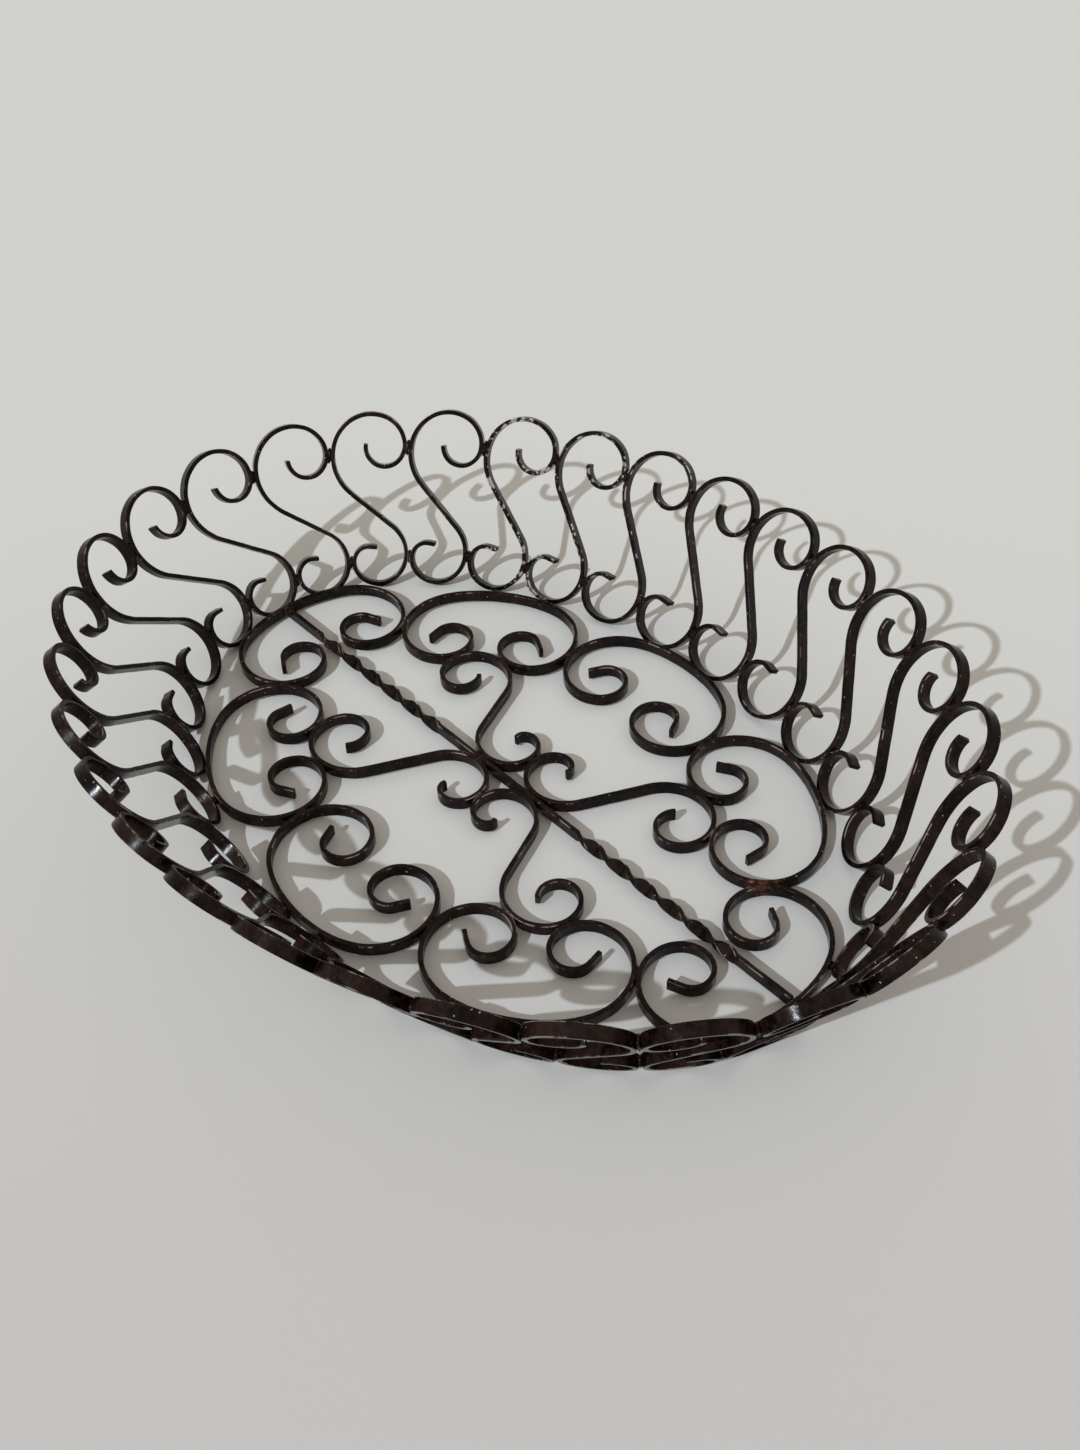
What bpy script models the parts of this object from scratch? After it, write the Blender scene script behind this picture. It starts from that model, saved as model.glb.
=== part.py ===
# Wrought iron fruit basket
#
# An open oval basket welded up from flat iron strip. Thirty S scrolls lean outwards side by side
# as the wall and stand on their small lower curls. Eight C scrolls lie inside the feet as the
# floor, four smaller S scrolls reach from them to the middle, and a strip twisted between plain
# stretches runs along the long axis.
#
# Lengths are metres, angles are degrees, +Z is up and the table is at zero height. The long axis
# is X. A name that ends in share is a fraction of the size that its comment names.

import math

import bmesh
import bpy
import numpy as np
from mathutils import Vector

# Strip stock
STRIP_THICKNESS = 0.002
STRIP_WIDTH = 0.005
WELD_GAP = 0.0003  # left between two strips that a weld joins

# Wall
WALL_SCROLL_COUNT = 30
RIM_LENGTH = 0.376  # through the middles of the rim curls
RIM_WIDTH = 0.2834
RIM_HEIGHT = 0.0592  # middles of the rim curls above the table
END_OVERHANG = 0.0243  # the rim curls reach this much further out than the foot curls
SIDE_OVERHANG = 0.0271
RIM_TURN = 6.0  # the hand-made rim oval sits slightly turned on the floor
FOOT_TURN = 2.5
RIM_PHASE_SHARE = 0.006  # of one wall scroll's room along the rim
FOOT_PHASE_SHARE = 0.348  # of one wall scroll's room along the foot oval

# Floor
FLOOR_LIFT = 0.0015  # underside of the floor above the table
CORNER_SCROLL_TURN = 34.5  # from the short axis towards the long one
# The hand-made ring of floor scrolls sits slid round clockwise from the axes
SIDE_SCROLL_SLIDE = 0.004
SIDE_SCROLL_TURN = 2.0
END_SCROLL_SLIDE = 0.003
END_SCROLL_TURN = 4.5
# Widths of a centre scroll's curls, the one nested between two floor curls and then the one at
# the middle of the basket, as shares of the way from the long axis to between the floor curls
CENTRE_WIDTH_SHARES = (0.635, 0.473)
CENTRE_CURL_TURN = -32.0  # outer curl's turn against a rim curl's
CENTRE_INNER_TURN = -70.0  # inner curl's turn from upright
BAR_PLAIN_MIDDLE = 0.085  # untwisted stretch where the centre scrolls are welded on
BAR_PLAIN_END = 0.026  # untwisted stretch at each end
BAR_HALF_TURNS = 6  # in each of the two twisted stretches

# Curls, from the free tip to where the curl opens out. The radius grows evenly with the turn.
# Shares are of the curl's width across, or of the whole C scroll's width for a floor scroll.
RIM_CURL = dict(tip_heading=-100.0, tip_share=0.0, hook_share=0.256, hook_turn=118.0,
                radius_share=0.252, growth_share=0.545)
FOOT_CURL = dict(tip_heading=-9.0, tip_share=0.153, hook_share=0.0, hook_turn=0.0,
                 radius_share=0.2126, growth_share=0.557)
CENTRE_CURL = dict(tip_heading=-30.0, tip_share=0.06, hook_share=0.0, hook_turn=0.0,
                   radius_share=0.12, growth_share=0.93)
LEAVING_HEADING = 320.0  # both curls of an S scroll leave about this way in their own frames
LEAVING_RANGE = (200.0, 380.0)  # and always between these
FLOOR_TIP_SHARE = 0.082  # straight end
FLOOR_RADIUS_SHARES = (0.0863, 0.1423, 0.340, 0.946)  # from the tip to the middle of the back
FLOOR_TURNS = (171.0, 220.0, 33.0)  # between those radii
FLOOR_CURL_TURN = 276.0  # the part of them that counts as the curl when another nests on it

# Where the floor's solver starts: a scroll's width as a share of the rim's length and width
# together, and the back of a corner scroll as shares of half the foot oval's length and width
FLOOR_START_SHARE = 0.12
CORNER_START_SHARES = (0.57, 0.70)
CORNER_HEADINGS = (90.0 - CORNER_SCROLL_TURN, CORNER_SCROLL_TURN - 90.0)

# Points along an edge that are tested for clearance, as shares of the edge
EDGE_SAMPLE_SHARES = (0.0, 0.5, 1.0)

# Fineness of the solids
TURN_STEP = 20.0
TWIST_STEP = 30.0
OVAL_STEPS = 1440
SOLVE_ROUNDS = 24
LONGEST_MOVE = 0.01  # in one round
HALVINGS = 36
APPROACH_ROUNDS = 24

IRON_COLOUR = (0.018, 0.014, 0.012, 1.0)
IRON_ROUGHNESS = 0.38
IRON_METALLIC = 0.55

HALF_THICKNESS = STRIP_THICKNESS / 2
HALF_WIDTH = STRIP_WIDTH / 2
FLOOR_TOP = FLOOR_LIFT + STRIP_WIDTH
# Centre lines of two welded strips lie this far apart
WELD_SPACING = STRIP_THICKNESS + WELD_GAP
FOOT_LENGTH = RIM_LENGTH - 2 * END_OVERHANG
FOOT_WIDTH = RIM_WIDTH - 2 * SIDE_OVERHANG
# Nudge for measuring slopes while solving
LENGTH_STEP = STRIP_THICKNESS / 1000


def direction(heading):
    """Unit vector in the plane for a heading in degrees."""
    angle = math.radians(heading)
    return np.array([math.cos(angle), math.sin(angle)])


def clockwise(way):
    """Unit vector a quarter turn clockwise from another."""
    return np.array([way[1], -way[0]])


def turned(points, degrees):
    """Points of the plane turned about the origin."""
    c, s = direction(degrees)
    return points @ np.array([[c, s], [-s, c]])


def solve(function, start, step):
    """Inputs that bring every output of a function to zero, by Newton's method from a start."""
    at = np.array(start, dtype=float)
    nudges = np.eye(len(at)) * step
    for _ in range(SOLVE_ROUNDS):
        value = np.array(function(*at))
        slopes = [(np.array(function(*(at + nudge))) - value) / step for nudge in nudges]
        move = np.linalg.solve(np.stack(slopes, axis=1), value)
        at -= move / max(1, np.abs(move).max() / LONGEST_MOVE)
    return at


# Scroll outlines in the plane

def spiral(start, heading, radius, end_radius, turn):
    """Left-hand bend whose radius changes evenly with the turn; gives its points after start."""
    steps = max(1, math.ceil(turn / TURN_STEP))
    bend = np.radians(np.linspace(0, turn, steps + 1))[:, None]
    slope = (end_radius - radius) / math.radians(turn)
    angles = math.radians(heading) + bend
    ahead = np.hstack([np.cos(angles), np.sin(angles)])
    left = np.hstack([-np.sin(angles), np.cos(angles)])
    reach = slope * ahead - (radius + slope * bend) * left
    return start + (reach - reach[0])[1:]


def curl(shape, width, leave_heading):
    """Curl from its tip until it leaves at a heading, scaled to a width between its two sides.

    The middle between the sides is the origin. The sides are where the curl heads up and down.
    """
    heading = shape["tip_heading"]
    points = [np.zeros(2)]
    if shape["tip_share"]:
        points.append(points[-1] + shape["tip_share"] * direction(heading))
    if shape["hook_turn"]:
        points.extend(spiral(points[-1], heading, shape["hook_share"], shape["hook_share"],
                             shape["hook_turn"]))
        heading += shape["hook_turn"]

    def radius(at):
        return shape["radius_share"] + shape["growth_share"] * (at - heading) / 360

    opening = points[-1]
    going_up = 90.0
    going_down = 270.0
    right = spiral(opening, heading, radius(heading), radius(going_up), going_up - heading)[-1]
    left = spiral(opening, heading, radius(heading), radius(going_down), going_down - heading)[-1]
    points.extend(spiral(opening, heading, radius(heading), radius(leave_heading),
                         leave_heading - heading))
    return (np.array(points) - (right + left) / 2) * width / (right[0] - left[0])


def s_scroll(first, first_width, first_place, first_turn, second, second_width, second_place,
             second_turn):
    """Two curls that turn opposite ways, joined by the straight that touches both."""

    def ends(heading):
        a = turned(curl(first, first_width, heading - first_turn), first_turn) + first_place
        b = turned(curl(second, second_width, heading - second_turn), second_turn + 180)
        return a, b + second_place

    low, high = (heading + (first_turn + second_turn) / 2 for heading in LEAVING_RANGE)
    for _ in range(HALVINGS):
        heading = (low + high) / 2
        a, b = ends(heading)
        x, y = b[-1] - a[-1]
        # The line from end to end turns right past the curls' own heading as that grows
        if (math.degrees(math.atan2(y, x)) - heading + 270) % 360 < 270:
            high = heading
        else:
            low = heading
    return np.vstack([a, b[::-1]])


def c_scroll(width):
    """C scroll with the middle of its back at the origin and its curls below."""
    heading = 180.0 - sum(FLOOR_TURNS)
    radii = [share * width for share in FLOOR_RADIUS_SHARES]
    points = [np.zeros(2), FLOOR_TIP_SHARE * width * direction(heading)]
    for radius, next_radius, turn in zip(radii, radii[1:], FLOOR_TURNS):
        points.extend(spiral(points[-1], heading, radius, next_radius, turn))
        heading += turn
    half = np.array(points) - points[-1]
    return np.vstack([half, (half * (-1, 1))[-2::-1]])


def separation(a, b):
    """Gap between the outlines round two sets of points; below zero where they overlap."""
    angles = np.radians(np.arange(0, 360, 3))
    ways = np.stack([np.cos(angles), np.sin(angles)])
    return ((b @ ways).min(axis=0) - (a @ ways).max(axis=0)).max()


# Ovals that carry the wall

def oval(length, width, turn, shares):
    """Points and clockwise tangents at shares of the way round an ellipse, from its +X end."""
    angles = np.linspace(0, 2 * math.pi, OVAL_STEPS + 1)
    ring = np.stack([np.cos(angles) * length / 2, np.sin(angles) * width / 2], axis=1)
    run = np.concatenate([[0], np.cumsum(np.linalg.norm(np.diff(ring, axis=0), axis=1))])
    at = np.interp(np.asarray(shares) % 1 * run[-1], run, angles)
    points = np.stack([np.cos(at) * length / 2, np.sin(at) * width / 2], axis=1)
    tangents = np.stack([np.sin(at) * length / 2, -np.cos(at) * width / 2], axis=1)
    tangents /= np.linalg.norm(tangents, axis=1)[:, None]
    return turned(points, turn), turned(tangents, turn)


def crossing(point, tangent, other_point, other_tangent):
    """How far along the first line the second one crosses it."""
    return np.linalg.solve(np.stack([tangent, -other_tangent], axis=1), other_point - point)[0]


def wall_frames(foot_height):
    """Plane of each wall scroll: foot middle, across, up the slope, normal, sideways drift, rise."""
    places = np.arange(WALL_SCROLL_COUNT) + 0.5
    rim, rim_tangents = oval(RIM_LENGTH, RIM_WIDTH, RIM_TURN,
                             (places + RIM_PHASE_SHARE) / WALL_SCROLL_COUNT)
    foot, foot_tangents = oval(FOOT_LENGTH, FOOT_WIDTH, FOOT_TURN,
                               (places + FOOT_PHASE_SHARE) / WALL_SCROLL_COUNT)
    frames = []
    for k in range(WALL_SCROLL_COUNT):
        across = Vector((*(rim_tangents[k] + foot_tangents[k]), 0)).normalized()
        low = Vector((*foot[k], foot_height))
        high = Vector((*rim[k], RIM_HEIGHT))
        drift = (high - low).dot(across)
        up = high - low - drift * across
        frames.append(dict(low=low, high=high, across=across, up=up.normalized(), drift=drift,
                           rise=up.length, normal=across.cross(up).normalized()))
    return frames


def curl_room(frames, k, level):
    """Left and right ends of the room that a curl's centre line has in its plane."""
    frame = frames[k]
    sides = []
    for step in (1, -1):
        other = frames[(k + step) % WALL_SCROLL_COUNT]
        reach = crossing(np.array(frame[level].xy), np.array(frame["across"].xy),
                         np.array(other[level].xy), np.array(other["across"].xy))
        half_angle = frame["normal"].angle(other["normal"]) / 2
        margin = (WELD_GAP / 2 + HALF_WIDTH * math.sin(half_angle)) / math.cos(half_angle)
        sides.append(reach + step * (margin + HALF_THICKNESS))
    return sides


def wall_paths():
    """Centre line of each wall scroll in its plane, with the planes."""
    lean = math.atan2((END_OVERHANG + SIDE_OVERHANG) / 2, RIM_HEIGHT)
    pitch = math.pi * (FOOT_LENGTH + FOOT_WIDTH) / 2 / WALL_SCROLL_COUNT
    foot_height = (pitch / 2) * math.cos(lean) + HALF_WIDTH * math.sin(lean)
    frames = wall_frames(foot_height)
    paths = []
    for k, frame in enumerate(frames):
        foot_left, foot_right = curl_room(frames, k, "low")
        rim_left, rim_right = curl_room(frames, k, "high")
        rim_place = np.array([frame["drift"] + (rim_left + rim_right) / 2, frame["rise"]])
        foot_place = np.array([(foot_left + foot_right) / 2, 0])
        paths.append(s_scroll(RIM_CURL, rim_right - rim_left, rim_place, 0,
                              FOOT_CURL, foot_right - foot_left, foot_place, 0))
    return frames, paths


# Solids

def side_offsets(path, half_thickness):
    """Offset from each point of a path to the strip's left face, mitred at the bends."""
    ahead = np.diff(path, axis=0)
    ahead /= np.linalg.norm(ahead, axis=1)[:, None]
    left = np.stack([-ahead[:, 1], ahead[:, 0]], axis=1)
    before = np.vstack([left[:1], left])
    after = np.vstack([left, left[-1:]])
    middle = before + after
    return middle * half_thickness / (1 + (before * after).sum(axis=1))[:, None]


def tube_of_sections(sections):
    """Closed mesh through a row of four-cornered sections."""
    mesh = bmesh.new()
    rows = [[mesh.verts.new(corner) for corner in section] for section in sections]
    for row, next_row in zip(rows, rows[1:]):
        for i in range(4):
            j = (i + 1) % 4
            mesh.faces.new((row[i], row[j], next_row[j], next_row[i]))
    mesh.faces.new(rows[0][::-1])
    mesh.faces.new(rows[-1])
    bmesh.ops.recalc_face_normals(mesh, faces=mesh.faces)
    return mesh


def bent_strip(path, origin, across, up, normal):
    """Strip bent along a path in the plane that two directions span, its width on the normal."""
    offsets = side_offsets(path, HALF_THICKNESS)
    sections = []
    for point, offset in zip(path, offsets):
        corners = []
        for side, edge in ((1, 1), (-1, 1), (-1, -1), (1, -1)):
            x, y = (point + side * offset).tolist()
            corners.append(origin + x * across + y * up + edge * HALF_WIDTH * normal)
        sections.append(corners)
    return tube_of_sections(sections)


def add_piece(name, mesh, collection):
    """Object from a mesh, with its own iron paint."""
    data = bpy.data.meshes.new(name)
    mesh.to_mesh(data)
    mesh.free()
    data.shade_smooth()
    data.set_sharp_from_angle(angle=math.radians(TURN_STEP + TWIST_STEP))
    paint = bpy.data.materials.new(name + "_paint")
    paint.use_nodes = True
    shader = paint.node_tree.nodes["Principled BSDF"]
    shader.inputs["Base Color"].default_value = IRON_COLOUR
    shader.inputs["Roughness"].default_value = IRON_ROUGHNESS
    shader.inputs["Metallic"].default_value = IRON_METALLIC
    data.materials.append(paint)
    piece = bpy.data.objects.new(name, data)
    collection.objects.link(piece)
    return piece


def add_floor_piece(name, path, collection):
    """Strip that lies on the floor's level with its width upright."""
    middle = Vector((0, 0, FLOOR_LIFT + HALF_WIDTH))
    mesh = bent_strip(path, middle, Vector((1, 0, 0)), Vector((0, 1, 0)), Vector((0, 0, 1)))
    return add_piece(name, mesh, collection)


# Wall

def build_wall(collection):
    """The wall's scrolls, each moved up or down until its foot stands on the table."""
    frames, paths = wall_paths()
    footprint = []
    for k, (frame, path) in enumerate(zip(frames, paths)):
        mesh = bent_strip(path, frame["low"], frame["across"], frame["up"], frame["normal"])
        lowest = min(vertex.co.z for vertex in mesh.verts)
        for edge in mesh.edges:
            ends = [vertex.co for vertex in edge.verts]
            if all((end - frame["low"]).dot(frame["normal"]) > 0 for end in ends):
                points = [ends[0].lerp(ends[1], share) for share in EDGE_SAMPLE_SHARES]
                footprint.extend(point.xy for point in points if point.z - lowest < FLOOR_TOP)
        bmesh.ops.translate(mesh, verts=mesh.verts, vec=(0, 0, -lowest))
        add_piece(f"wall_scroll_{k + 1:02d}", mesh, collection)
    return np.array([tuple(point) for point in footprint])


# Floor

def clearance(path, points):
    """Distance from a centre line to the nearest of some points."""
    start = path[:-1, None]
    run = np.diff(path, axis=0)[:, None]
    share = ((points[None] - start) * run).sum(axis=2) / (run * run).sum(axis=2)
    nearest = start + np.clip(share, 0, 1)[..., None] * run
    return np.linalg.norm(points[None] - nearest, axis=2).min()


def room_outwards(path, way, footprint):
    """How far a path can move along a way until only a weld gap is left to the wall's feet."""
    sideways = clockwise(way)
    beside = path @ sideways
    facing = footprint[(footprint @ way > 0)
                       & (footprint @ sideways > beside.min() - STRIP_WIDTH)
                       & (footprint @ sideways < beside.max() + STRIP_WIDTH)]
    shift = (facing @ way).min() - (path @ way).max() - STRIP_WIDTH
    for _ in range(APPROACH_ROUNDS):
        shift += clearance(path + shift * way, facing) - HALF_THICKNESS - WELD_GAP
    return shift


def seated(shape, heading, turn, slide, footprint):
    """Floor scroll that faces about a heading, pushed out until it meets the wall's feet."""
    way = direction(heading)
    path = turned(shape, heading - 90 - turn) + slide * clockwise(way)
    return path + room_outwards(path, way, footprint) * way


def floor_layout(footprint):
    """Half the ring of floor scrolls, as wide as the wall's feet leave room for.

    The other half is the same, turned round by half a turn.
    """

    def layout(width, *places):
        shape = c_scroll(width)
        side = seated(shape, 90.0, SIDE_SCROLL_TURN, SIDE_SCROLL_SLIDE, footprint)
        end = seated(shape, 0.0, END_SCROLL_TURN, END_SCROLL_SLIDE, footprint)
        corners = []
        for heading, x, y in zip(CORNER_HEADINGS, places[::2], places[1::2]):
            corners.append(turned(shape, heading - 90) + (x, y))
        return side, end, corners

    def misses(*guess):
        side, end, corners = layout(*guess)
        ring = (side, corners[0], end, corners[1], -side)
        gaps = [separation(a, b) - WELD_SPACING for a, b in zip(ring, ring[1:])]
        room = [room_outwards(corner, direction(heading), footprint)
                for corner, heading in zip(corners, CORNER_HEADINGS)]
        return gaps + [min(room)]

    width = (RIM_LENGTH + RIM_WIDTH) * FLOOR_START_SHARE
    x, y = np.array([FOOT_LENGTH, FOOT_WIDTH]) / 2 * CORNER_START_SHARES
    return layout(*solve(misses, [width, x, y, x, -y], LENGTH_STEP))


def centre_path(corner):
    """S scroll nested in a corner scroll's mouth, its other curl welded to bar and neighbour.

    The corner scroll is the one where both axes count up.
    """
    ahead = np.diff(corner, axis=0)
    headings = np.degrees(np.unwrap(np.arctan2(ahead[:, 1], ahead[:, 0])))
    first_curl = corner[:-1][headings - headings[0] < FLOOR_CURL_TURN]
    last_curl = corner[1:][headings[-1] - headings < FLOOR_CURL_TURN]
    outward = direction(90.0 - CORNER_SCROLL_TURN)
    sideways = clockwise(outward)
    mouth = (first_curl.mean(axis=0) + last_curl.mean(axis=0)) / 2
    outer_width, inner_width = mouth[1] * np.array(CENTRE_WIDTH_SHARES)
    outer = curl(RIM_CURL, outer_width, LEAVING_HEADING)
    outer = turned(outer, CENTRE_CURL_TURN)

    def place(distance, slide):
        return mouth + distance * outward + slide * sideways

    def misses(distance, slide):
        placed = outer + place(distance, slide)
        return [separation(placed, first_curl) - WELD_SPACING,
                separation(placed, last_curl) - WELD_SPACING]

    outer_place = place(*solve(misses, [-outer_width / 2, 0], LENGTH_STEP))
    inner = curl(CENTRE_CURL, inner_width, LEAVING_HEADING)
    inner = turned(inner, CENTRE_INNER_TURN + 180)
    inner_place = np.array([WELD_SPACING / 2 - inner[:, 0].min(),
                            WELD_SPACING - inner[:, 1].min()])
    return s_scroll(RIM_CURL, outer_width, outer_place, CENTRE_CURL_TURN,
                    CENTRE_CURL, inner_width, inner_place, CENTRE_INNER_TURN)


def build_floor(footprint, collection):
    """Floor scrolls and centre scrolls; gives the path of an end scroll."""
    side, end, corners = floor_layout(footprint)
    flip = np.array([1, -1])
    centres = [centre_path(corners[0]), centre_path((corners[1] * flip)[::-1]) * flip]
    for half, way_round in enumerate((1, -1)):
        add_floor_piece(f"side_floor_scroll_{half + 1}", side * way_round, collection)
        add_floor_piece(f"end_floor_scroll_{half + 1}", end * way_round, collection)
        for place, (corner, centre) in enumerate(zip(corners, centres), start=1):
            number = 2 * half + place
            add_floor_piece(f"corner_floor_scroll_{number}", corner * way_round, collection)
            add_floor_piece(f"centre_scroll_{number}", centre * way_round, collection)
    return end


def bar_reach(end_scroll):
    """How far out the bar's square end goes until a weld gap is left to the end scroll's back."""
    corners = np.array([[0, HALF_THICKNESS], [0, -HALF_THICKNESS]])
    reach = 0
    for _ in range(APPROACH_ROUNDS):
        room = clearance(end_scroll, corners + (reach, 0)) - HALF_THICKNESS - WELD_GAP
        reach += room
    return reach


def build_bar(end_scroll, collection):
    """Strip on edge along the long axis, twisted between its plain middle and plain ends."""
    end = bar_reach(end_scroll)
    twist_start = BAR_PLAIN_MIDDLE / 2
    twist_end = end - BAR_PLAIN_END
    steps = round(BAR_HALF_TURNS * 180 / TWIST_STEP)
    places = [0, *np.linspace(twist_start, twist_end, steps + 1), end]
    angles = [0, *np.linspace(0, BAR_HALF_TURNS * 180, steps + 1), BAR_HALF_TURNS * 180]
    stations = [(-x, -angle) for x, angle in zip(places[::-1], angles[::-1])]
    stations += list(zip(places, angles))[1:]
    middle = FLOOR_LIFT + HALF_WIDTH
    sections = []
    for x, angle in stations:
        corners = []
        for side, edge in ((1, 1), (-1, 1), (-1, -1), (1, -1)):
            corner = turned(np.array([side * HALF_THICKNESS, edge * HALF_WIDTH]), angle)
            corners.append(Vector((x, corner[0], middle + corner[1])))
        sections.append(corners)
    add_piece("twisted_bar", tube_of_sections(sections), collection)


def main():
    for leftover in list(bpy.data.objects):
        bpy.data.objects.remove(leftover, do_unlink=True)
    collection = bpy.context.scene.collection
    footprint = build_wall(collection)
    end_scroll = build_floor(footprint, collection)
    build_bar(end_scroll, collection)
    tops = [max(vertex.co.z for vertex in piece.data.vertices) for piece in collection.objects]
    print(f"{len(collection.objects)} pieces, {max(tops):.4f} m high")


main()
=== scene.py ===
# %% [markdown]
# # Dressing a wrought iron fruit basket
# The basket is bent and welded from one size of flat iron strip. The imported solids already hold
# every scroll at its real size, with few faces and bare square corners. Here each strip is swept
# again along the same line, with many more sections, worn round edges and a real paint, and the
# welds that hold the scrolls together are added as lumps of metal.

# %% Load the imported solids
import math

import bmesh
import bpy
import numpy as np
from mathutils import Matrix, Vector, noise


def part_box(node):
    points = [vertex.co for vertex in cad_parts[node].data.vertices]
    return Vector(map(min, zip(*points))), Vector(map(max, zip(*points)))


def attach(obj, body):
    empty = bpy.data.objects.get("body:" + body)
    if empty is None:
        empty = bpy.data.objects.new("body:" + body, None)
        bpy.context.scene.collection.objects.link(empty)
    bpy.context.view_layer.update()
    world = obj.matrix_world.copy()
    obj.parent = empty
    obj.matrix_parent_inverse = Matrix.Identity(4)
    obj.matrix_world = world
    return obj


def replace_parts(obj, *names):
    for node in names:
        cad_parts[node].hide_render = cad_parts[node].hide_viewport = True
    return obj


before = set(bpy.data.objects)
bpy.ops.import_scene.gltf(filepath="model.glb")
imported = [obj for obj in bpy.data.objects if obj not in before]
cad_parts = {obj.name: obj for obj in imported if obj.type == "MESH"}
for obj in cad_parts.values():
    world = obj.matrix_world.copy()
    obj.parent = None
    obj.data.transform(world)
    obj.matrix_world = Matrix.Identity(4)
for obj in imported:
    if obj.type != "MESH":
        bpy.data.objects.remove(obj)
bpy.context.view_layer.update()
print(len(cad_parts), "solids loaded")

# %% [markdown]
# The camera comes first. It was placed by matching points of the rim and the floor with the
# picture, so it stands a little more than half a metre from the basket and looks down on it.
# Its roll is small and comes from holding the camera by hand.

# %% Camera
CAMERA_AT = Vector((-0.3298, 0.2659, 0.4442))
CAMERA_WAY = Vector((0.5434, -0.4705, -0.6952)).normalized()
CAMERA_ROLL = -0.0449
PICTURE_HEIGHT = 1450
FOCAL_PIXELS = 1483.5
SENSOR_WIDTH = 36.0
NEAREST_SEEN = 0.01
UP = Vector((0, 0, 1))

level_right = CAMERA_WAY.cross(UP).normalized()
level_up = level_right.cross(CAMERA_WAY)
right = math.cos(CAMERA_ROLL) * level_right + math.sin(CAMERA_ROLL) * level_up
above = right.cross(CAMERA_WAY)
lens = bpy.data.cameras.new("camera")
lens.sensor_width = SENSOR_WIDTH
lens.lens = SENSOR_WIDTH * FOCAL_PIXELS / PICTURE_HEIGHT
lens.clip_start = NEAREST_SEEN
camera = bpy.data.objects.new("camera", lens)
turn = Matrix((right, above, -CAMERA_WAY)).transposed().to_4x4()
camera.matrix_world = Matrix.Translation(CAMERA_AT) @ turn
bpy.context.scene.collection.objects.link(camera)
bpy.context.scene.camera = camera
print("lens", round(lens.lens, 2), "mm")

# %% [markdown]
# Every strip follows a flat line made of spirals and straights. A smith bends a scroll round a
# former whose radius grows evenly, which is what a spiral of this kind does. The lines are the
# same ones as the solids have, so their shapes are given again here, with finer steps.

# %% Sizes of the iron
STRIP_THICKNESS = 0.002
STRIP_WIDTH = 0.005
WELD_GAP = 0.0003
HALF_THICKNESS = STRIP_THICKNESS / 2
HALF_WIDTH = STRIP_WIDTH / 2
EDGE_ROUNDING = 0.0003
SOLID_STEP = 20.0
FINE_STEP = 5.0


def heading_vector(degrees):
    """Unit vector in the plane for a heading in degrees."""
    angle = math.radians(degrees)
    return np.array([math.cos(angle), math.sin(angle)])


def turned(points, degrees):
    """Points of the plane turned about the origin."""
    c, s = heading_vector(degrees)
    return points @ np.array([[c, s], [-s, c]])


def spiral(start, heading, radius, end_radius, sweep, step):
    """Points after start of a left-hand bend whose radius changes evenly."""
    bend = np.radians(np.linspace(0, sweep, max(1, math.ceil(sweep / step)) + 1))[:, None]
    slope = (end_radius - radius) / math.radians(sweep)
    angles = math.radians(heading) + bend
    ahead = np.hstack([np.cos(angles), np.sin(angles)])
    left = np.hstack([-np.sin(angles), np.cos(angles)])
    reach = slope * ahead - (radius + slope * bend) * left
    return start + (reach - reach[0])[1:]


print("strip", STRIP_WIDTH * 1000, "by", STRIP_THICKNESS * 1000, "mm")

# %% [markdown]
# One curl of an S scroll runs from its free tip to where it opens out into the straight. The tip
# of a rim curl is hooked over, and that of a foot curl ends in a short straight. On a hand-made
# basket no two tips end alike, so each may wind a few degrees more or less. The way of the
# straight is found in rounds, each of which takes a part of what is still missed.

# %% Curls and S scrolls
RIM_CURL = dict(tip_heading=-100.0, tip_share=0.0, hook_share=0.256, hook_turn=118.0,
                radius_share=0.252, growth_share=0.545)
FOOT_CURL = dict(tip_heading=-9.0, tip_share=0.153, hook_share=0.0, hook_turn=0.0,
                 radius_share=0.2126, growth_share=0.557)
CENTRE_CURL = dict(tip_heading=-30.0, tip_share=0.06, hook_share=0.0, hook_turn=0.0,
                   radius_share=0.12, growth_share=0.93)
DOUBLING_WIND = 30.0  # degrees of winding that make a straight tip twice as long
LEAVING_HEADING = 320.0
AIM_ROUNDS = 40
AIM_SHARE = 0.6


def curl(shape, width, leave_heading, wind=0.0, step=FINE_STEP):
    """Curl scaled to a width between its upright sides, about the middle between them."""
    heading = shape["tip_heading"]
    points = [np.zeros(2)]
    if shape["tip_share"]:
        tip = shape["tip_share"] * (1 + wind / DOUBLING_WIND)
        points.append(points[-1] + tip * heading_vector(heading))
    if shape["hook_turn"]:
        points.extend(spiral(points[-1], heading - wind, shape["hook_share"],
                             shape["hook_share"], shape["hook_turn"] + wind, step))
        heading += shape["hook_turn"]
    opening = points[-1]

    def bend_to(at):
        radii = [shape["radius_share"] + shape["growth_share"] * (h - heading) / 360
                 for h in (heading, at)]
        return spiral(opening, heading, *radii, at - heading, step)

    low, high = bend_to(270.0)[-1], bend_to(90.0)[-1]
    points.extend(bend_to(leave_heading))
    return (np.array(points) - (low + high) / 2) * width / (high[0] - low[0])


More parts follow.
